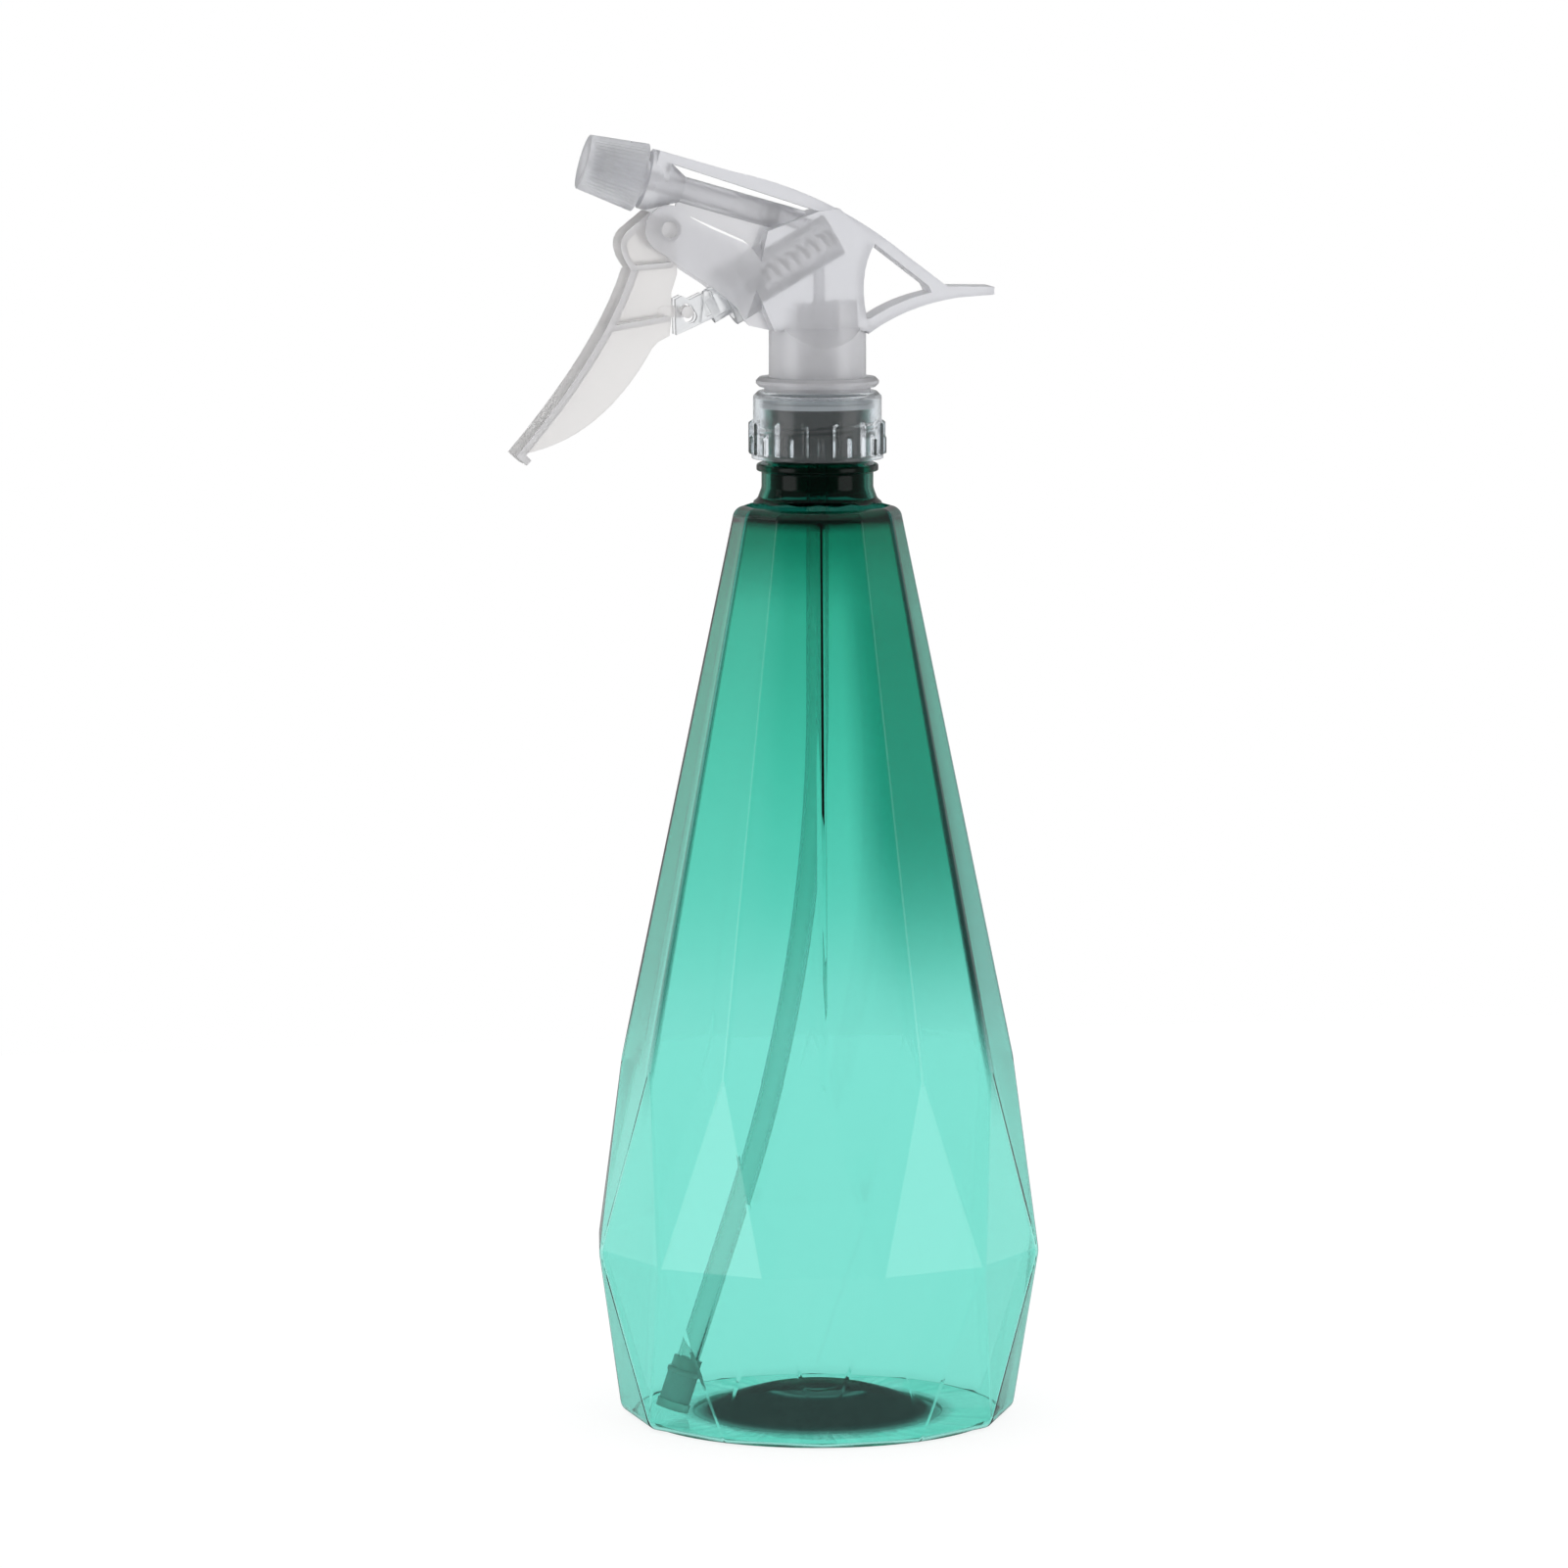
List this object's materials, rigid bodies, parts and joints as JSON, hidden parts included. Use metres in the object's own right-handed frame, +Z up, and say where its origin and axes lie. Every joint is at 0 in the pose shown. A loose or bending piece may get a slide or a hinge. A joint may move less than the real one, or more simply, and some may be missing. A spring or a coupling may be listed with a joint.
{
  "type": "trigger spray bottle",
  "caption": "Hand mister: faceted clear green bottle tapering to a narrow neck, with a translucent screw-on trigger sprayer, adjustable nozzle and bent dip tube.",
  "frame": {"origin": "centre of the bottle's base, on the surface it stands on", "axes": "+Z up along the bottle's axis, -X the way the nozzle and trigger point"},
  "size_m": [0.1264, 0.1072, 0.306],
  "materials": {
    "green_pet": "clear green moulded PET, glossy",
    "natural_pp": "translucent natural polypropylene",
    "gasket_foam": "soft white foam",
    "natural_pe": "milky polyethylene",
    "steel": "bright spring steel",
    "clear_pp": "thin clear polypropylene",
    "grey_pe": "grey soft polyethylene",
    "tube_pe": "milky flexible polyethylene tube",
    "filter_pe": "milky polyethylene",
    "filter_mesh": "fine woven nylon screen"
  },
  "bodies": {
    "bottle": {"bottle": "green_pet"},
    "head": {"housing": "natural_pp", "riser_insert": "natural_pe", "collar_gasket": "gasket_foam", "outlet_seat": "natural_pe", "pump_cylinder_plug": "natural_pp", "return_spring": "steel", "trigger_pin": "natural_pp", "swirl_core": "natural_pe", "dip_tube": "tube_pe", "filter_sleeve": "filter_pe", "filter_screen": "filter_mesh", "filter_end_cap": "filter_pe"},
    "collar": {"collar": "natural_pp"},
    "trigger": {"trigger": "natural_pp"},
    "piston": {"piston_rod": "clear_pp", "piston_cup": "grey_pe"},
    "nozzle_ring": {"nozzle_seal": "gasket_foam"},
    "nozzle": {"nozzle_cap": "natural_pp"},
    "inlet_ball": {"inlet_ball": "steel"},
    "outlet_valve": {"outlet_valve": "natural_pe"}
  },
  "joints": [
    {"name": "collar_turn", "type": "hinge", "parent": "head", "child": "collar", "pos_m": [0, 0, 0.2375], "axis": [0, 0, 1], "range_deg": [0, 540]},
    {"name": "head_lift", "type": "slide", "parent": "bottle", "child": "head", "axis": [0, 0, 1], "range_m": [0, 0.00635]},
    {"name": "trigger_squeeze", "type": "hinge", "parent": "head", "child": "trigger", "pos_m": [-0.0365, 0, 0.2841], "axis": [0, -1, 0], "range_deg": [0, 20], "stiffness_Nm_per_rad": 0.7, "springref_deg": -8.59},
    {"name": "piston_slide", "type": "slide", "parent": "head", "child": "piston", "axis": [0.866, 0, 0.5], "range_m": [0, 0.007], "deforming": ["return_spring"]},
    {"name": "nozzle_turn", "type": "hinge", "parent": "nozzle_ring", "child": "nozzle", "pos_m": [-0.0423, 0, 0.296], "axis": [-0.9613, 0, 0.2756], "range_deg": [0, 540]},
    {"name": "nozzle_travel", "type": "slide", "parent": "head", "child": "nozzle_ring", "axis": [-0.9613, 0, 0.2756], "range_m": [0, 0.003]},
    {"name": "inlet_ball_lift", "type": "slide", "parent": "head", "child": "inlet_ball", "axis": [0, 0, 1], "range_m": [0, 0.0012]},
    {"name": "outlet_valve_lift", "type": "slide", "parent": "head", "child": "outlet_valve", "axis": [-0.9613, 0, 0.2756], "range_m": [0, 0.0015]}
  ],
  "couplings": [
    {"joint": "collar_turn", "follows": "head_lift", "rad_per_m": 1484.2},
    {"joint": "piston_slide", "follows": "trigger_squeeze", "m_per_rad": 0.02},
    {"joint": "nozzle_turn", "follows": "nozzle_travel", "rad_per_m": 3141.6}
  ]
}
